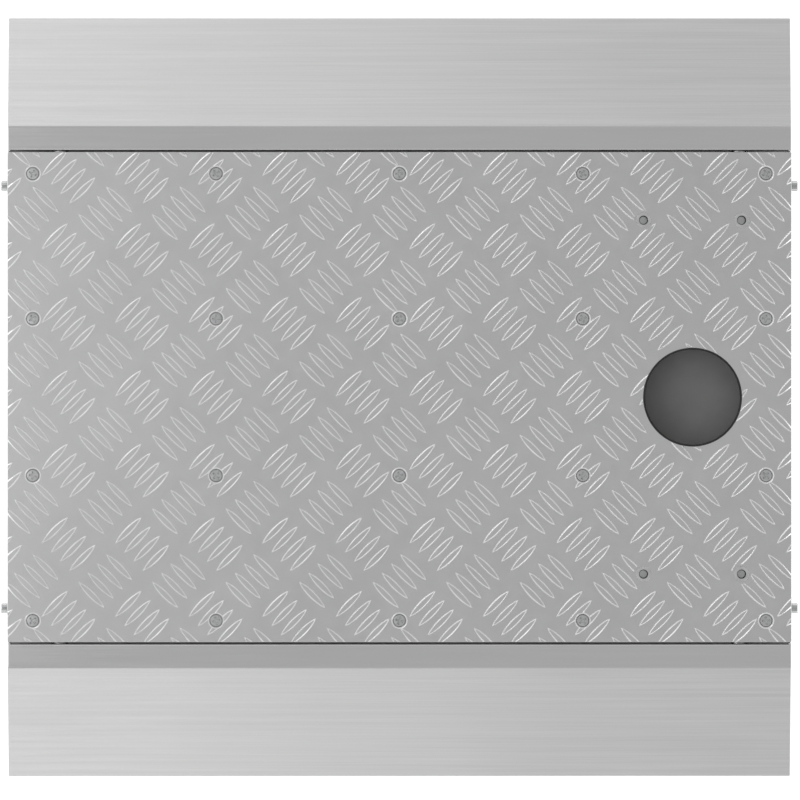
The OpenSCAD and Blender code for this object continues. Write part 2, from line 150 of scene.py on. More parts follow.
def merged(meshes, name):
    """One mesh that holds several."""
    whole = bmesh.new()
    for mesh in meshes:
        whole.from_mesh(mesh)
    out = bpy.data.meshes.new(name)
    whole.to_mesh(out)
    whole.free()
    return out


def copies(mesh, matrices, name):
    """One mesh that holds a copy of another at each matrix."""
    whole = bmesh.new()
    for matrix in matrices:
        start = len(whole.verts)
        whole.from_mesh(mesh)
        whole.verts.ensure_lookup_table()
        bmesh.ops.transform(whole, matrix=matrix, verts=whole.verts[start:])
    out = bpy.data.meshes.new(name)
    whole.to_mesh(out)
    whole.free()
    return out


def evaluated(obj):
    """The object's mesh with its modifiers applied."""
    graph = bpy.context.evaluated_depsgraph_get()
    return bpy.data.meshes.new_from_object(obj.evaluated_get(graph))


def cut(mesh, cutter, operation="DIFFERENCE"):
    """The boolean of two meshes, as a new mesh."""
    body = make_object("cut_body", mesh)
    tool = make_object("cut_tool", cutter)
    step = body.modifiers.new("cut", "BOOLEAN")
    step.operation = operation
    step.solver = "EXACT"
    step.object = tool
    result = evaluated(body)
    bpy.data.objects.remove(body)
    bpy.data.objects.remove(tool)
    return result


def prism(points, x0, x1):
    """A YZ outline carried along X."""
    bm = bmesh.new()
    ends = [[bm.verts.new((x, y, z)) for y, z in points] for x in (x0, x1)]
    for i in range(len(points)):
        j = (i + 1) % len(points)
        bm.faces.new((ends[0][i], ends[0][j], ends[1][j], ends[1][i]))
    for end in ends:
        bm.faces.new(end)
    bmesh.ops.recalc_face_normals(bm, faces=bm.faces)
    return bm


def box_bmesh(lo, hi):
    """A box between two corners."""
    bm = bmesh.new()
    bmesh.ops.create_cube(bm, size=1)
    size = Vector(hi) - Vector(lo)
    centre = (Vector(hi) + Vector(lo)) / 2
    return place(bm, Matrix.Translation(centre) @ Matrix.Diagonal((*size, 1)))


def rounded_box(lo, hi, radius, segments=3):
    """A box with every edge rounded."""
    bm = box_bmesh(lo, hi)
    bmesh.ops.bevel(bm, geom=bm.edges[:], offset=radius, segments=segments, profile=0.5, affect="EDGES")
    return bm


def along(axis):
    """A rotation that carries +Z onto an axis."""
    return Vector((0, 0, 1)).rotation_difference(Vector(axis)).to_matrix().to_4x4()


def at(x, y, z=0.0, axis=(0, 0, 1)):
    """The matrix that stands something on a point, with its Z along an axis."""
    return Matrix.Translation((x, y, z)) @ along(axis)


def piece(name, mesh, material, body, nodes=(), angle=32):
    """A finished piece: shaded, riding on a body, and standing for the CAD nodes that it replaces."""
    shade(mesh, angle)
    obj = make_object(name, mesh, material)
    flatten = obj.modifiers.new("normals", "WEIGHTED_NORMAL")
    flatten.keep_sharp = True
    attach(obj, body)
    if nodes:
        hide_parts(*nodes)
    return obj


def soften(node, material, width, segments=2):
    """A CAD node kept as it is, with its edges broken and a material of its own."""
    obj = bpy.data.objects[node]
    obj.data.materials.clear()
    obj.data.materials.append(material)
    weld = obj.modifiers.new("weld", "WELD")
    weld.merge_threshold = 0.00002
    bevel = obj.modifiers.new("bevel", "BEVEL")
    bevel.width = width
    bevel.segments = segments
    bevel.limit_method = "ANGLE"
    bevel.angle_limit = math.radians(35)
    bevel.harden_normals = True
    bevel.use_clamp_overlap = True


# ---------------------------------------------------------------- materials
class Graph:
    """A small wrapper that makes a Principled material and the nodes that feed it."""

    def __init__(self, name, color, metallic, roughness, edge=1.0):
        self.material = bpy.data.materials.new(name)
        self.material.use_nodes = True
        self.nodes = self.material.node_tree.nodes
        self.links = self.material.node_tree.links
        self.shader = self.nodes["Principled BSDF"]
        self.shader.inputs["Base Color"].default_value = (*color, 1)
        self.shader.inputs["Metallic"].default_value = metallic
        self.shader.inputs["Roughness"].default_value = roughness
        self.shader.inputs["Specular Tint"].default_value = (edge, edge, edge, 1)
        self.place = self.nodes.new("ShaderNodeTexCoord").outputs["Object"]

    def noise(self, scale, detail, roughness=0.55, stretch=(1, 1, 1)):
        """Cloudy noise from 0 to 1, fixed to the piece."""
        mapping = self.nodes.new("ShaderNodeMapping")
        mapping.inputs["Scale"].default_value = stretch
        self.links.new(self.place, mapping.inputs["Vector"])
        node = self.nodes.new("ShaderNodeTexNoise")
        node.inputs["Scale"].default_value = scale
        node.inputs["Detail"].default_value = detail
        node.inputs["Roughness"].default_value = roughness
        self.links.new(mapping.outputs["Vector"], node.inputs["Vector"])
        return node.outputs["Fac"]

    def spread(self, source, low, high, start=0.3, end=0.7):
        """Maps a value from start..end onto low..high."""
        node = self.nodes.new("ShaderNodeMapRange")
        node.inputs["From Min"].default_value = start
        node.inputs["From Max"].default_value = end
        node.inputs["To Min"].default_value = low
        node.inputs["To Max"].default_value = high
        self.links.new(source, node.inputs["Value"])
        return node.outputs["Result"]

    def math(self, operation, a, b):
        """An arithmetic node on two sockets or numbers."""
        node = self.nodes.new("ShaderNodeMath")
        node.operation = operation
        for socket, value in zip(node.inputs, (a, b)):
            if isinstance(value, (int, float)):
                socket.default_value = value
            else:
                self.links.new(value, socket)
        return node.outputs[0]

    def tint(self, factor, color):
        """The base colour, a colour scaled by a factor that changes over the surface."""
        node = self.nodes.new("ShaderNodeMix")
        node.data_type = "RGBA"
        node.blend_type = "MULTIPLY"
        node.inputs["Factor"].default_value = 1.0
        node.inputs[6].default_value = (*color, 1)
        grey = self.nodes.new("ShaderNodeCombineColor")
        for socket in grey.inputs[:3]:
            self.links.new(factor, socket)
        self.links.new(grey.outputs[0], node.inputs[7])
        self.links.new(node.outputs[2], self.shader.inputs["Base Color"])

    def feed(self, name, source):
        """Drives a shader input with a socket."""
        self.links.new(source, self.shader.inputs[name])

    def bump(self, height, strength, distance):
        """Tilts the surface by a height map."""
        node = self.nodes.new("ShaderNodeBump")
        node.inputs["Strength"].default_value = strength
        node.inputs["Distance"].default_value = distance
        self.links.new(height, node.inputs["Height"])
        self.links.new(node.outputs["Normal"], self.shader.inputs["Normal"])


def surface(name, color, metallic, roughness, patches, gloss=None, grain=None, edge=1.0):
    """A material with noise in its colour, gloss and height.

    patches and gloss are (scale, detail, low, high), and grain is (scale, detail, strength, distance).
    """
    g = Graph(name, color, metallic, roughness, edge)
    scale, detail, low, high = patches
    g.tint(g.spread(g.noise(scale, detail), low, high), color)
    if gloss:
        scale, detail, low, high = gloss
        g.feed("Roughness", g.spread(g.noise(scale, detail), low, high))
    if grain:
        scale, detail, strength, distance = grain
        g.bump(g.noise(scale, detail), strength, distance)
    return g.material


def tread_metal(name, color):
    """Mill-finish aluminium with broad clouds and a fine grain."""
    g = Graph(name, color, 1.0, 0.36, 0.8)
    clouds = g.spread(g.noise(9, 4), 0.975, 1.02)
    grain = g.spread(g.noise(1400, 2), 0.985, 1.015)
    g.tint(g.math("MULTIPLY", clouds, grain), color)
    g.feed("Roughness", g.spread(g.noise(60, 5), 0.33, 0.41))
    g.bump(g.noise(900, 3), 0.12, 0.0002)
    return g.material


def brushed_metal(name, color, contrast, rough):
    """Sheet brushed along X: long fine streaks in colour, gloss and height."""
    g = Graph(name, color, 1.0, rough, 0.62)
    fine = g.noise(1.0, 1, 0.5, (9, 900, 900))
    broad = g.noise(1.0, 2, 0.5, (2.5, 330, 330))
    fine_streaks, broad_streaks = [g.spread(field, 1 - contrast, 1 + contrast) for field in (fine, broad)]
    streaks = g.math("MULTIPLY", fine_streaks, broad_streaks)
    clouds = g.spread(g.noise(5, 2), 0.985, 1.015)
    g.tint(g.math("MULTIPLY", streaks, clouds), color)
    g.feed("Roughness", g.spread(fine, rough - 0.05, rough + 0.06))
    g.bump(fine, 0.12, 0.0001)
    return g.material


def zinc_plate(name, color, low, high, edge=1.0):
    """Zinc-plated or bare bright steel, its roughness from low to high."""
    gloss, grain = (300, 4, low, high), (1500, 2, 0.1, 0.0001)
    return surface(name, color, 1.0, 0.33, (160, 4, 0.88, 1.06), gloss, grain, edge)


TREAD = tread_metal("tread_aluminium", (0.73, 0.73, 0.735))
# A lighter copy of the tread metal: painted highlight on the lozenge flanks and the countersink lips.
FLANK_HIGHLIGHT = tread_metal("painted_highlight_flanks", (0.97, 0.97, 0.97))
# A darker metal for the countersink cones: painted shade in the recesses.
SINK_SHADE = surface("painted_shade_sink", (0.62, 0.62, 0.625), 1.0, 0.3, (400, 3, 0.85, 1.05), (500, 3, 0.26, 0.36))
BRUSHED = brushed_metal("brushed_slope", (0.75, 0.75, 0.75), 0.03, 0.38)
SATIN = brushed_metal("satin_sheet", (0.8, 0.8, 0.8), 0.004, 0.2)
COAT = surface("powder_coat", (0.2, 0.2, 0.205), 0.0, 0.45,
               (30, 4, 0.9, 1.1), (80, 3, 0.4, 0.52), (1100, 2, 0.35, 0.0002))
ZINC = zinc_plate("zinc_plate", (0.66, 0.67, 0.68), 0.28, 0.4)
SCREW_ZINC = zinc_plate("screw_zinc", (0.7, 0.705, 0.71), 0.26, 0.38)
SOCKET_STEEL = zinc_plate("socket_screw_steel", (0.6, 0.605, 0.61), 0.1, 0.18, 0.0)
BRIGHT_ZINC = zinc_plate("bright_zinc", (0.78, 0.785, 0.79), 0.1, 0.18)
INSERT_ZINC = zinc_plate("insert_zinc", (0.84, 0.84, 0.845), 0.2, 0.3)
RUBBER = surface("black_rubber", (0.022, 0.022, 0.023), 0.0, 0.7,
                 (45, 4, 0.8, 1.35), (120, 3, 0.6, 0.8), (1600, 3, 0.4, 0.0002))
FOAM = surface("gasket_foam", (0.03, 0.03, 0.031), 0.0, 0.9,
               (500, 4, 0.6, 1.5), grain=(900, 4, 0.6, 0.0003))
PLASTIC = surface("cap_plastic", (0.035, 0.035, 0.037), 0.0, 0.5,
                  (60, 3, 0.9, 1.15), grain=(2000, 2, 0.3, 0.0002))
PRIMER = surface("well_primer", (0.27, 0.27, 0.27), 0.0, 0.6,
                 (18, 5, 0.9, 1.1), (90, 3, 0.52, 0.68), (1200, 3, 0.3, 0.0002))
BRASS = surface("plain_brass", (0.6, 0.47, 0.22), 1.0, 0.35, (200, 4, 0.85, 1.05), (300, 3, 0.28, 0.45))


# ---------------------------------------------------------------- the tread plate
def leaf(length, width, points=12):
    """Outline of a leaf with slightly blunt tips, long along Y, as (x, y) points."""
    a, b, blunt = length / 2, width / 2, 0.72
    ts = [-math.cos(math.pi * i / points) for i in range(points + 1)]
    side = [(b * max(0.0, 1 - t * t) ** blunt, a * t) for t in ts]
    return side + [(-x, y) for x, y in reversed(side[1:-1])]


# How far in from its outline, and how high, each ring of a lozenge's rounded flank lies, in millimetres
FLANK = [(0.0, -0.1), (0.25, 0.35), (0.7, 0.8), (1.15, 1.22), (1.4, 1.42), (1.65, 1.5)]


def lozenge_bmesh(matrix):
    """One raised lozenge. Its tips pull in faster than its sides, by end_pull."""
    end_pull = 1.7
    bm = bmesh.new()
    rings = []
    for inset, height in FLANK:
        outline = leaf(LOZENGE_L - 2 * end_pull * inset * MM, LOZENGE_W - 2 * inset * MM)
        rings.append([bm.verts.new((x, y, DECK_TOP + height * MM)) for x, y in outline])
    count = len(rings[0])
    for low, high in zip(rings, rings[1:]):
        for i in range(count):
            j = (i + 1) % count
            bm.faces.new((low[i], low[j], high[j], high[i]))
    bm.faces.new(rings[-1])
    bm.faces.new(list(reversed(rings[0])))
    return place(bm, matrix)


def lozenge_places():
    """The matrix of every lozenge whose middle is near the deck."""
    step = TREAD_PITCH * math.sqrt(2) / 8
    columns = math.ceil(HALF_W / TREAD_PITCH) + 1
    rows = math.ceil(HALF_D / TREAD_PITCH) + 1
    for i in range(-columns, columns + 1):
        for j in range(-rows, rows + 1):
            for lean, ox, oy in ((-1, 0.5, 0.0), (1, 0.0, 0.5)):
                centre = Vector(((i + ox) * TREAD_PITCH, (j + oy) * TREAD_PITCH, 0))
                turn = Matrix.Rotation(math.radians(45 * lean), 4, "Z")
                for k in range(LOZENGES_IN_GROUP):
                    shift = (k - (LOZENGES_IN_GROUP - 1) / 2) * step
                    yield Matrix.Translation(centre) @ turn @ Matrix.Translation((shift, 0, 0))


def tread_lozenges():
    """Every lozenge, clipped at the deck's edges and round its holes."""
    whole, clipped = [], []
    rounds = [(x, y, SINK_R) for x, y in SCREWS] + [(x, y, SPOT_R) for x, y in FIXINGS]
    rounds.append((PORT.x, PORT.y, PORT_R + 1 * MM))
    edge = 0.6 * MM
    for matrix in lozenge_places():
        outline = [matrix @ Vector((x, y, 0)) for x, y in leaf(LOZENGE_L, LOZENGE_W)]
        if all(abs(p.x) > HALF_W or abs(p.y) > HALF_D for p in outline):
            continue
        crosses = any(abs(p.x) > HALF_W - edge or abs(p.y) > HALF_D - edge for p in outline)
        middle = matrix.translation
        for x, y, r in rounds:
            if math.hypot(middle.x - x, middle.y - y) > r + LOZENGE_L / 2:
                continue
            centre = matrix.inverted() @ Vector((x, y, 0))
            near_y = max(-LOZENGE_L / 2, min(LOZENGE_L / 2, centre.y))
            if math.hypot(centre.x, centre.y - near_y) < r + LOZENGE_W / 2:
                crosses = True
        (clipped if crosses else whole).append(lozenge_bmesh(matrix))
    high = DECK_TOP + 3 * MM
    keep = box_bmesh((edge - HALF_W, edge - HALF_D, DECK_TOP - 1 * MM), (HALF_W - edge, HALF_D - edge, high))
    rims = []
    for x, y, r in rounds:
        profile = [(0, DECK_TOP - 2 * MM), (r, DECK_TOP - 2 * MM), (r, high + 1 * MM), (0, high + 1 * MM)]
        rims.append(place(revolved(profile, 40), at(x, y)))
    inside = cut(joined(clipped, "clipped"), joined([keep], "keep"), "INTERSECT")
    trimmed = cut(inside, joined(rims, "rims"))
    return merged([joined(whole, "whole"), trimmed], "lozenges")


def build_deck():
    """The tread plate with its countersinks, fixing holes and port, in three metal materials: the plain tread,
    a lighter copy as painted highlight on the lozenge flanks and countersink lips, and a darker one as painted
    shade in the countersink cones.
    """
    below, above, edge = DECK_BOTTOM - 1 * MM, DECK_TOP + 1 * MM, 0.8 * MM
    plate = joined([rounded_box((-HALF_W, -HALF_D, DECK_BOTTOM), (HALF_W, HALF_D, DECK_TOP), edge)], "plate")
    sink_h = SINK_R - SCREW_HOLE_R
    lip = 1 * MM
    sink = [
        (0, below), (SCREW_HOLE_R, below), (SCREW_HOLE_R, DECK_TOP - sink_h), (SINK_R - lip, DECK_TOP - lip),
        (SINK_R + 0.2 * lip, DECK_TOP), (SINK_R + 0.5 * lip, DECK_TOP + 0.1 * lip), (SINK_R + 0.5 * lip, above),
        (0, above),
    ]
    seat_r, chamfer_r = INSERT_FLANGE_R + 0.1 * MM, INSERT_FLANGE_R + 0.4 * MM
    seat_z = DECK_TOP - INSERT_FLANGE_T
    seat = [
        (0, below), (INSERT_R, below), (INSERT_R, seat_z), (seat_r, seat_z), (seat_r, DECK_TOP - 0.2 * MM),
        (chamfer_r, DECK_TOP + 0.1 * MM), (chamfer_r, above), (0, above),
    ]
    hole = [(0, below), (PORT_R, below), (PORT_R, above), (0, above)]
    tools = [place(revolved(sink, 48), at(x, y)) for x, y in SCREWS]
    tools += [place(revolved(seat, 48), at(x, y)) for x, y in FIXINGS]
    tools.append(place(revolved(hole, 128), at(PORT.x, PORT.y)))
    plate = cut(plate, joined(tools, "tools"))
    mesh = merged([tread_lozenges(), plate], "tread_plate")
    piece("tread_plate", mesh, TREAD, "platform", ["deck_plate"], 30)
    mesh.materials.append(SINK_SHADE)
    mesh.materials.append(FLANK_HIGHLIGHT)
    shaded_cone, highlight = 1, 2
    # Lozenge flanks take the lighter copy of the tread metal, a painted highlight.
    for face in mesh.polygons:
        tilt = face.normal.z
        if face.center.z > DECK_TOP and tilt < 0.97:
            face.material_index = highlight
        if not 0.5 < tilt < 0.9 or face.center.z > DECK_TOP - 0.2 * MM:
            continue
        near = min(math.hypot(face.center.x - x, face.center.y - y) for x, y in SCREWS)
        # Inside a countersink, the lip ring takes the painted highlight and the cone below it takes the darker
        # metal, painted shade.
        if near < SINK_R:
            face.material_index = highlight if face.center.z > DECK_TOP - lip else shaded_cone


# ---------------------------------------------------------------- fasteners
def thread_profile(radius, z0, z1, pitch=1.0 * MM, depth=0.55 * MM):
    """Ridges of a thread as (radius, z) points from z0 up to z1."""
    points = []
    turns = max(1, int(round(abs(z1 - z0) / pitch)))
    step = (z1 - z0) / turns
    for i in range(turns):
        z = z0 + (z1 - z0) * i / turns
        points += [(radius - depth, z + 0.08 * step), (radius, z + 0.44 * step), (radius, z + 0.56 * step)]
    points.append((radius - depth, z1))
    return points


def cross_tool(span, width, depth, top):
    """A cross recess as two crossed wedges, wide at the top."""
    parts = []
    corners = ((-1, -1), (1, -1), (1, 1), (-1, 1))
    low = [(0.35 * span * sx, 0.3 * width * sy) for sx, sy in corners]
    high = [(0.5 * span * sx, 0.5 * width * sy) for sx, sy in corners]
    for turn in (45, 135):
        bm = bmesh.new()
        bottom = [bm.verts.new((x, y, top - depth)) for x, y in low]
        upper = [bm.verts.new((x, y, top)) for x, y in high]
        over = [bm.verts.new((x, y, top + 1 * MM)) for x, y in high]
        for a, b in ((bottom, upper), (upper, over)):
            for i in range(4):
                bm.faces.new((a[i], a[(i + 1) % 4], b[(i + 1) % 4], b[i]))
        bm.faces.new(list(reversed(bottom)))
        bm.faces.new(over)
        parts.append(place(bm, Matrix.Rotation(math.radians(turn), 4, "Z")))
    core = [(0, top - depth - 0.5 * MM), (1.0 * MM, top - depth), (1.7 * MM, top + 1 * MM), (0, top + 1 * MM)]
    return parts + [revolved(core, 24)]


def build_deck_screws():
    """Countersunk cross-recess screws, each turned to an angle of its own."""
    shank_r = 3 * MM
    length = 16 * MM
    cone_h = HEAD_R - shank_r
    profile = [(0, -length), (shank_r - 1.2 * MM, -length)]
    profile += thread_profile(shank_r, -length + 0.8 * MM, -cone_h - 0.6 * MM)
    profile += [
        (shank_r, -cone_h), (HEAD_R - 0.35 * MM, -0.5 * MM), (HEAD_R, -0.3 * MM),
        (HEAD_R - 0.05 * MM, -0.12 * MM), (HEAD_R - 0.35 * MM, 0), (2.6 * MM, 0.02 * MM), (0, 0.02 * MM),
    ]
    mesh = joined([revolved(profile, 48)], "screw")
    for tool in cross_tool(8.4 * MM, 1.9 * MM, 2.2 * MM, 0.2 * MM):
        mesh = cut(mesh, joined([tool], "recess"))
    turned = []
    for i, (x, y) in enumerate(SCREWS):
        turn = Matrix.Rotation(math.radians(37 * i), 4, "Z")
        turned.append(at(x, y, DECK_TOP - HEAD_DROP) @ turn)
    piece("deck_screw_set", copies(mesh, turned, "deck_screws"), SCREW_ZINC, "platform", ["deck_screws"])


def build_side_screws():
    """Socket-head screws, turned out from the side faces."""
    head_r, head_l, flange = 5 * MM, 6 * MM, 0.6 * MM
    mouth = head_l + flange
    head = joined([revolved([
        (0, flange), (head_r - 0.25 * MM, flange), (head_r, flange + 0.25 * MM), (head_r, mouth - 0.9 * MM),
        (head_r - 0.25 * MM, mouth - 0.35 * MM), (head_r - 0.8 * MM, mouth), (3.3 * MM, mouth),
        (3.0 * MM, mouth - 0.2 * MM), (0, mouth - 0.3 * MM)], 64)], "head")
    key_r, above = 2.9 * MM, mouth + 1 * MM
    hexagon = [(0, 2.6 * MM), (2.2 * MM, 2.6 * MM), (key_r, 3.1 * MM), (key_r, above), (0, above)]
    head = cut(head, joined([revolved(hexagon, 6)], "hexagon"))
    shank = [(0, -15.4 * MM), (2.2 * MM, -15.4 * MM)] + thread_profile(3 * MM, -14.8 * MM, -1 * MM)
    shank += [(3 * MM, -0.5 * MM), (3 * MM, flange + 0.1 * MM), (0, flange + 0.1 * MM)]
    mesh = merged([head, joined([revolved(shank, 32)], "shank")], "side_screw")
    lo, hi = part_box("side_screws")
    y = (hi.y - lo.y) / 2 - head_r
    places = [at(sx * HALF_W, sy * y, RAIL_MID_Z, (sx, 0, 0)) for sx in (-1, 1) for sy in (-1, 1)]
    mesh = copies(mesh, places, "side_screws")
    piece("side_screw_set", mesh, SOCKET_STEEL, "platform", ["side_screws"])


def build_inserts():
    """Flanged bushes with a cut M10 thread down the bore."""
    lo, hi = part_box("turnstile_inserts")
    depth = hi.z - lo.z
    bore, flank = 4.25 * MM, 0.7 * MM
    profile = [
        (0, -depth), (INSERT_R - 0.1 * MM, -depth), (INSERT_R, -depth + 0.2 * MM), (INSERT_R, -INSERT_FLANGE_T),
        (INSERT_FLANGE_R, -INSERT_FLANGE_T), (INSERT_FLANGE_R, -0.15 * MM), (INSERT_FLANGE_R - 0.2 * MM, 0),
        (bore + flank, 0), (bore + 0.4 * MM, -0.1 * MM), (bore + 0.1 * MM, -0.5 * MM),
    ]
    z, pitch, end = -1.3 * MM, 1.5 * MM, -16 * MM
    while z > end:
        profile += [(bore, z), (bore + flank, z - 0.45 * pitch), (bore + flank, z - 0.55 * pitch)]
        z -= pitch
    profile += [(bore, -16.6 * MM), (bore - 0.4 * MM, -17 * MM), (0, -17 * MM)]
    mesh = joined([revolved(profile, 48)], "insert")
    places = [at(x, y, hi.z) for x, y in FIXINGS]
    mesh = copies(mesh, places, "inserts")
    piece("fixing_insert_set", mesh, INSERT_ZINC, "platform", ["turnstile_inserts"])
    mesh.materials.append(SOCKET_STEEL)
    for face in mesh.polygons:
        near = min(math.hypot(face.center.x - x, face.center.y - y) for x, y in FIXINGS)
        face.material_index = int(near < bore + 0.6 * MM)


def build_port_trim():
    """The rubber edging of the port, with a bead that stands on the deck."""
    top, lip = DECK_TOP, DECK_BOTTOM
    bead = trim_hi.z - DECK_TOP
    outer = (trim_hi.x - trim_lo.x) / 2
    profile = [
        (TRIM_R + 0.3 * MM, lip - 1 * MM), (outer - 0.3 * MM, lip - 1 * MM), (outer, lip - 0.7 * MM),
        (outer, lip - 0.05 * MM), (PORT_R - 0.05 * MM, lip - 0.05 * MM), (PORT_R - 0.05 * MM, top + 0.02 * MM),
        (PORT_R + 0.35 * MM, top + 0.02 * MM), (PORT_R + 0.4 * MM, top + 0.3 * MM),
        (PORT_R + 0.1 * MM, top + 0.55 * MM), (PORT_R - 0.6 * MM, top + bead),
        (TRIM_R + 0.5 * MM, top + 0.45 * MM), (TRIM_R + 0.05 * MM, top), (TRIM_R, top - 0.6 * MM),
        (TRIM_R, lip - 0.7 * MM),
    ]
    mesh = joined([revolved(profile, 160)], "port_edging")
    mesh.transform(Matrix.Translation(PORT))
    piece("port_edging", mesh, RUBBER, "platform", ["port_trim"], 50)


def build_well_rivets():
    """Domed blind rivets along both sides of the well."""
    head, shank = 4.6 * MM, 2.4 * MM
    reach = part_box("well_rivets")[1].y - RIVET_FACE_Y
    profile = [
        (0, reach), (shank * 0.7, reach), (shank, reach - 0.6 * MM), (shank, 0), (head, 0),
        (head * 0.96, -0.35 * MM), (head * 0.8, -0.8 * MM), (head * 0.5, -1.1 * MM), (1.3 * MM, -1.2 * MM),
        (1.2 * MM, -0.7 * MM), (0, -0.7 * MM),
    ]
    mesh = joined([revolved(profile, 32)], "rivet")
    places = [at(x, s * RIVET_FACE_Y, RAIL_MID_Z, (0, s, 0)) for x in RIVET_COLUMNS for s in (-1, 1)]
    piece("well_rivet_set", copies(mesh, places, "rivets"), ZINC, "platform", ["well_rivets"], 40)


# ---------------------------------------------------------------- the frame
def rounded_outline(half_y, half_z, radius, steps=4):
    """A rectangle with round corners, as (y, z) points."""
    flat_y, flat_z = half_y - radius, half_z - radius
    points = []
    for sy, sz, start in ((1, 1, 0), (-1, 1, 90), (-1, -1, 180), (1, -1, 270)):
        for i in range(steps + 1):
            a = math.radians(start + 90 * i / steps)
            points.append((sy * flat_y + radius * math.cos(a), sz * flat_z + radius * math.sin(a)))
    return points


def tube_mesh(length):
    """Cold-formed rectangular tube along X with rounded corners, centred on the origin."""
    half_z = (rail_hi.z - rail_lo.z) / 2
    outer = rounded_outline(RAIL_W / 2, half_z, 3.0 * MM)
    inner = rounded_outline(RAIL_W / 2 - TUBE_T, half_z - TUBE_T, 1.0 * MM)
    bm = bmesh.new()
    loops = []
    for outline in (outer, inner):
        for x in (-length / 2, length / 2):
            loops.append([bm.verts.new((x, y, z)) for y, z in outline])
    n = len(outer)
    for a, b in ((0, 1), (2, 3), (0, 2), (1, 3)):
        for i in range(n):
            j = (i + 1) % n
            bm.faces.new((loops[a][i], loops[a][j], loops[b][j], loops[b][i]))
    return joined([bm], "tube")


def drill_tools(holes):
    """Cylinders to cut: (point, axis, radius, length), each centred on its point."""
    parts = []
    for point, axis, radius, length in holes:
        profile = [(0, -length / 2), (radius, -length / 2), (radius, length / 2), (0, length / 2)]
        parts.append(place(revolved(profile, 32), at(*point, axis)))
    return joined(parts, "drill")


def build_rails():
    """The six tubes of the frame, each drilled where its nuts, bushes, studs and rivets go."""
    along_x, along_y, up = (1, 0, 0), (0, 1, 0), (0, 0, 1)
    depth = TUBE_T + 3 * MM
    nut_r, bush_r, stud_r, rivet_r = 4.55 * MM, 8 * MM, 4.05 * MM, 2.45 * MM
    top = rail_hi.z - TUBE_T / 2
    bottom = rail_lo.z + TUBE_T / 2
    bush_lo, bush_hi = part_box("foot_bushes")
    foot_y = (bush_hi.y - bush_lo.y) / 2 - bush_r
    side_lo, side_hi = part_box("side_rivet_nuts")
    side_y = (side_hi.y - side_lo.y) / 2 - 6.5 * MM
    quarter = Matrix.Rotation(math.radians(90), 4, "Z")
    for name, s in (("left", -1), ("right", 1)):
        lo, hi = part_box("side_rail_" + name)
        middle = (lo + hi) / 2
        wall_x = s * (HALF_W - TUBE_T / 2)
        mesh = tube_mesh(hi.y - lo.y)
        mesh.transform(Matrix.Translation(middle) @ quarter)
        holes = [((s * 2 * COLUMN_PITCH, y, top), up, nut_r, depth) for y in SCREW_ROWS]
        holes += [((middle.x, sy * foot_y, bottom), up, bush_r, depth) for sy in (-1, 1)]
        holes += [((wall_x, sy * side_y, RAIL_MID_Z), along_x, nut_r, depth) for sy in (-1, 1)]
        mesh = cut(mesh, drill_tools(holes))
        piece("side_tube_" + name, mesh, COAT, "platform", ["side_rail_" + name])
    for kind, row in (("end_rail_", 3), ("cross_member_", 2)):
        for name, s in (("front", -1), ("rear", 1)):
            lo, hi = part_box(kind + name)
            middle = (lo + hi) / 2
            mesh = tube_mesh(hi.x - lo.x)
            mesh.transform(Matrix.Translation(middle))
            holes = [((c * COLUMN_PITCH, s * SCREW_ROWS[row], top), up, nut_r, depth) for c in (-1, 0, 1)]
            if kind == "end_rail_":
                wall_y = s * (HALF_D - TUBE_T / 2)
                holes += [((sx * STUD_X, wall_y, RAIL_MID_Z), along_y, stud_r, depth) for sx in (-1, 1)]
            else:
                wall_y = s * (INNER_WALL_Y + TUBE_T / 2)
                holes.append(((0, middle.y, bottom), up, bush_r, depth))
                holes += [((x, wall_y, RAIL_MID_Z), along_y, rivet_r, depth) for x in RIVET_COLUMNS]
            mesh = cut(mesh, drill_tools(holes))
            shown_as = kind.replace("rail", "tube") + name + "_tube"
            piece(shown_as, mesh, COAT, "platform", [kind + name])


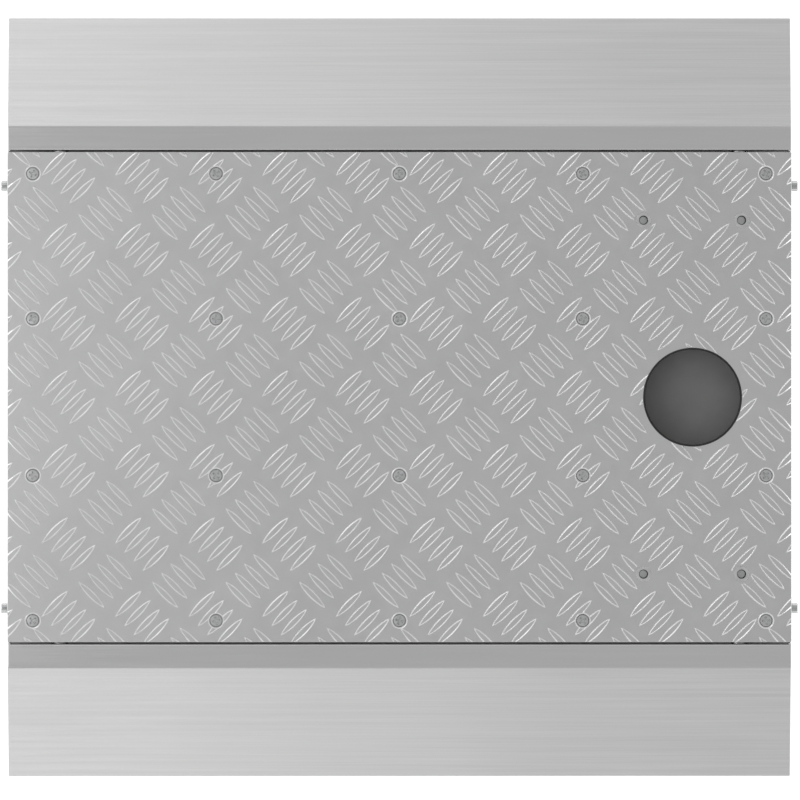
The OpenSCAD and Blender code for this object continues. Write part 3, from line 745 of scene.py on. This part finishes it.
# ---------------------------------------------------------------- the ramps
def ramp_cover():
    """The welded and ground sheet-metal cover of the rear ramp: top strip, slope, back and cheeks."""
    lo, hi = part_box("ramp_rear_plate")
    back_lo, back_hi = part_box("ramp_rear_back")
    sheet = back_hi.y - back_lo.y
    y0, top, toe_y, back_z = lo.y, hi.z, hi.y, back_lo.z
    cheek_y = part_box("ramp_rear_cheek_left")[0].y
    flat_y, toe_z = y0 + 24 * MM, 3.4 * MM
    slope = (top - toe_z) / (toe_y - flat_y)
    drop = sheet * math.sqrt(1 + slope * slope)
    inner = HALF_W - sheet
    fold_r, edge_r, clear = 1.2 * MM, 1.6 * MM, 5 * MM
    outer = prism([(cheek_y, 0), (toe_y, 0), (toe_y, toe_z), (flat_y, top), (cheek_y, top)], -HALF_W, HALF_W)
    fold = [e for e in outer.edges if all(abs(v.co.y - flat_y) < 1e-6 and v.co.z > toe_z for v in e.verts)]
    bmesh.ops.bevel(outer, geom=fold, offset=fold_r, segments=3, profile=0.5, affect="EDGES")
    raised = [e for e in outer.edges if any(v.co.z > 1e-6 for v in e.verts)]
    upper = [e for e in raised if e.calc_face_angle() > math.radians(35)]
    bmesh.ops.bevel(outer, geom=upper, offset=edge_r, segments=5, profile=0.5, affect="EDGES")
    mesh = joined([outer], "cover")
    notch = [(cheek_y - clear, -clear), (y0, -clear)]
    notch += [(y0 + edge_r * (1 - math.cos(a)), top - edge_r + edge_r * math.sin(a))
              for a in (math.radians(15 * k) for k in range(7))]
    notch += [(y0 + edge_r, top + clear), (cheek_y - clear, top + clear)]
    end_y = toe_y - 1 * MM
    hollow = [
        (y0 + sheet, -1 * MM), (end_y, -1 * MM), (end_y, top - (end_y - flat_y) * slope - drop),
        (flat_y - (drop - sheet) / slope, top - sheet), (y0 + sheet, top - sheet),
    ]
    tools = [prism(notch, -inner, inner), prism(hollow, -inner, inner)]
    tools.append(box_bmesh((-inner, y0 - clear, -clear), (inner, y0 + 2 * sheet, back_z)))
    slot_r, before, past = 5.4 * MM, 4 * MM, 4.5 * MM
    slot_end = [(0, -before), (slot_r, -before), (slot_r, past), (0, past)]
    for x in (-STUD_X, STUD_X):
        slot_lo = (x - slot_r, y0 - before, back_z - 2 * MM)
        tools.append(place(revolved(slot_end, 40), at(x, y0, RAIL_MID_Z, (0, 1, 0))))
        tools.append(box_bmesh(slot_lo, (x + slot_r, y0 + past, RAIL_MID_Z)))
    for tool in tools:
        mesh = cut(mesh, joined([tool], "tool"))
    return mesh


# ---------------------------------------------------------------- everything that keeps its CAD shape
def dress_cad_nodes():
    """Materials and broken edges for the nodes that are shown as they are."""
    for node in ("mount_plate_front", "mount_plate_rear", "corner_gussets"):
        soften(node, COAT, 0.5 * MM)
    soften("rail_end_caps", PLASTIC, 0.6 * MM, 3)
    soften("deck_gasket", FOAM, 0.1 * MM, 1)
    for node in ("deck_rivet_nuts", "side_rivet_nuts", "foot_bushes"):
        soften(node, ZINC, 0.2 * MM)
    soften("ramp_studs", BRIGHT_ZINC, 0.6 * MM, 3)
    for node in ("ramp_stud_nuts", "foot_locknuts"):
        soften(node, ZINC, 0.5 * MM, 3)
    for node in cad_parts:
        if node == "well_floor" or (node.startswith("well_") and node.endswith("_wall")):
            soften(node, PRIMER, 0.4 * MM)
    soften("well_grommet", RUBBER, 0.5 * MM, 3)
    for node in ("earth_stud", "earth_nuts", "earth_washer"):
        soften(node, BRASS, 0.25 * MM)
    for name in ("front", "rear"):
        soften(f"ramp_{name}_ribs", SATIN, 0.3 * MM)
        soften(f"ramp_{name}_toe_pad", RUBBER, 0.5 * MM)


FEET = ("front_left", "front_right", "middle_front", "middle_rear", "rear_left", "rear_right")


def build_feet():
    """Levelling feet: threaded stud, chamfered hexagon and a grooved rubber pad."""
    for name in FEET:
        stud, pad = f"foot_{name}_stud", f"foot_{name}_pad"
        lo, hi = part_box(pad)
        x, y = (lo.x + hi.x) / 2, (lo.y + hi.y) / 2
        r, h = (hi.x - lo.x) / 2, hi.z
        groove = 0.8 * MM
        profile = [(0, groove)]
        for k in range(4):
            a = (3 + 3.4 * k) * MM
            profile += [(a, groove), (a + 0.4 * MM, 0), (a + 2.2 * MM, 0), (a + 2.6 * MM, groove)]
        profile += [
            (r - 0.8 * MM, 0.1 * MM), (r - 0.2 * MM, 0.5 * MM), (r, 1 * MM),
            (r, h - 0.5 * MM), (r - 0.4 * MM, h), (0, h),
        ]
        mesh = joined([revolved(profile, 56)], pad)
        mesh.transform(Matrix.Translation((x, y, 0)))
        piece(f"{pad}_grooved", mesh, RUBBER, "foot_" + name, [pad], 40)
        stud_lo, stud_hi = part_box(stud)
        z, base_h, base_r, flat_r, rod_r = stud_lo.z, 2.5 * MM, 15 * MM, 14.2 * MM, 5 * MM
        hexagon = revolved([
            (0, z), (flat_r, z), (base_r, z + 0.5 * MM),
            (base_r, z + base_h - 0.5 * MM), (flat_r, z + base_h), (0, z + base_h)], 6)
        rod = [(0, z + base_h - 0.2 * MM), (rod_r, z + base_h - 0.2 * MM)]
        rod += thread_profile(rod_r, z + base_h + 0.6 * MM, stud_hi.z - 0.8 * MM, 1.5 * MM, 0.75 * MM)
        rod += [(3.9 * MM, stud_hi.z), (0, stud_hi.z)]
        mesh = joined([hexagon, revolved(rod, 40)], stud)
        mesh.transform(Matrix.Translation((x, y, 0)))
        piece(f"{stud}_threaded", mesh, ZINC, "foot_" + name, [stud])


def build_ramps():
    """Both ramps: the front one is the rear one turned round, with satin strip, back and cheeks."""
    half_turn = Matrix.Rotation(math.pi, 4, "Z")
    for side in (1, -1):
        name = "rear" if side > 0 else "front"
        mesh = ramp_cover()
        if side < 0:
            mesh.transform(half_turn)
        nodes = [f"ramp_{name}_{part}" for part in ("plate", "back", "cheek_left", "cheek_right")]
        piece(f"ramp_{name}_cover", mesh, BRUSHED, f"ramp_{name}", nodes)
        mesh.materials.append(SATIN)
        for face in mesh.polygons:
            if abs(face.normal.z) > 0.98 or abs(face.normal.x) > 0.5 or face.normal.y * side < -0.5:
                face.material_index = 1


# ---------------------------------------------------------------- stage, light and camera
def build_floor():
    """A white floor that glows evenly as a backdrop. Over the platform its glow is taken away, and it fades
    back in from 60 to 130 mm past the deck's ends: a painted shadow that keeps the gaps dark and lies under
    lifted ramps.
    """
    pale, shadow_glow, glow = (0.8, 0.8, 0.8), 0.02, 0.95
    bm = bmesh.new()
    bmesh.ops.create_grid(bm, x_segments=2, y_segments=2, size=30)
    bmesh.ops.translate(bm, verts=bm.verts, vec=(0, 0, -0.3 * MM))
    g = Graph("pale_floor", pale, 0.0, 0.9)
    g.tint(g.spread(g.noise(3, 3), 0.98, 1.0), pale)
    g.shader.inputs["Emission Color"].default_value = (1, 1, 1, 1)
    parts = g.nodes.new("ShaderNodeSeparateXYZ")
    g.links.new(g.place, parts.inputs[0])
    out_x, out_y = [g.math("ABSOLUTE", parts.outputs[axis], 0) for axis in "XY"]
    # Painted shadow: no glow inside the platform's outline, rising to full glow just inside the side edges and
    # from 60 to 130 mm beyond the deck's ends.
    past_side = g.spread(out_x, shadow_glow, glow, HALF_W - 2.8 * MM, HALF_W - 0.4 * MM)
    past_gap = g.spread(out_y, shadow_glow, glow, HALF_D + 60 * MM, HALF_D + 130 * MM)
    g.feed("Emission Strength", g.math("MAXIMUM", past_side, past_gap))
    make_object("floor", joined([bm], "floor"), g.material)


def build_world():
    """A soft white studio. Its brightness goes by height, from 0 at the horizon to 1 overhead."""
    world = bpy.data.worlds.new("studio")
    bpy.context.scene.world = world
    world.use_nodes = True
    nodes, links = world.node_tree.nodes, world.node_tree.links
    background = nodes["Background"]
    where = nodes.new("ShaderNodeTexCoord")
    parts = nodes.new("ShaderNodeSeparateXYZ")
    links.new(where.outputs["Generated"], parts.inputs[0])
    ramp = nodes.new("ShaderNodeValToRGB")
    links.new(parts.outputs["Z"], ramp.inputs["Fac"])
    stops = [(0.0, 0.96), (0.12, 0.92), (0.25, 0.66), (0.45, 0.56), (0.74, 0.56), (0.92, 0.5), (1.0, 0.45)]
    elements = ramp.color_ramp.elements
    while len(elements) < len(stops):
        elements.new(0.5)
    for element, (place_at, value) in zip(elements, stops):
        element.position = place_at
        element.color = (value, value, value, 1)
    links.new(ramp.outputs["Color"], background.inputs["Color"])
    background.inputs["Strength"].default_value = 1.0


def area_light(name, location, target, size, power):
    """A rectangular lamp aimed at a point. The camera doesn't see it."""
    data = bpy.data.lights.new(name, "AREA")
    data.shape = "RECTANGLE"
    data.size, data.size_y = size
    data.energy = power
    obj = bpy.data.objects.new(name, data)
    bpy.context.scene.collection.objects.link(obj)
    obj.location = location
    aim = Vector(target) - Vector(location)
    obj.rotation_mode = "QUATERNION"
    obj.rotation_quaternion = aim.to_track_quat("-Z", "Y")
    obj.visible_camera = False


def build_lights():
    """Panels that the slopes and the deck mirror on their left, and two strips that light the tread."""
    panel_z, strip_z = 1.5, 0.24
    for name, y in (("front", -1.74), ("rear", 1.74)):
        area_light(name + "_slope_panel", (-0.75, y, panel_z), (-0.1, y / 6, 0), (1.5, 0.7), 2.3)
    area_light("deck_panel", (-1.25, 0, panel_z), (0, 0, 0), (0.7, 1.6), 3.2)
    for name, x, y in (("rear_left", -1.6, 1.75), ("front_right", 1.75, -1.6)):
        area_light(name + "_strip", (x, y, strip_z), (0, 0, 0.05), (1.5, 0.44), 2.2)


def build_camera():
    """Straight down through a very long lens, as good as parallel."""
    data = bpy.data.cameras.new("camera")
    data.type = "PERSP"
    data.sensor_width = 36
    data.lens = 800
    seen_width = 1.02 * 2 * HALF_W
    distance = seen_width * data.lens / data.sensor_width
    camera = bpy.data.objects.new("camera", data)
    bpy.context.scene.collection.objects.link(camera)
    camera.location = (0.6 * MM, -2.9 * MM, DECK_TOP + distance)
    data.clip_start, data.clip_end = 1, 60
    bpy.context.scene.camera = camera


# ---------------------------------------------------------------- build
build_camera()
build_deck()
build_deck_screws()
build_side_screws()
build_inserts()
build_port_trim()
build_well_rivets()
build_rails()
build_ramps()
build_feet()
dress_cad_nodes()
build_floor()
build_world()
build_lights()
bpy.context.scene.view_settings.view_transform = "Standard"
